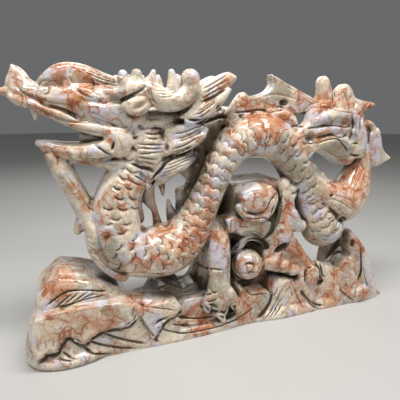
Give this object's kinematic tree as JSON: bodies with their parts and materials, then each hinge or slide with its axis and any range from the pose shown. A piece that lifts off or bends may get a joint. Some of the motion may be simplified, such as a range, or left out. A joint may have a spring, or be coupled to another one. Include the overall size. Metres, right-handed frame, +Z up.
{
  "type": "stone dragon carving",
  "caption": "Carved quartz dragon with open jaws, antlers and an arched scaly body on a base of waves, pierced right through and cut from one stone.",
  "frame": {"origin": "middle of the stone's box, on the plane of its underside", "axes": "+X along the length from the dragon's snout to its tail, -Y towards the carved front, +Z up"},
  "size_m": [0.4178, 0.0978, 0.2675],
  "materials": {
    "polished_quartz": "polished, grey-green and cream with salmon and rust veins"
  },
  "bodies": {
    "root": {"dragon_carving": "polished_quartz"}
  },
  "joints": []
}
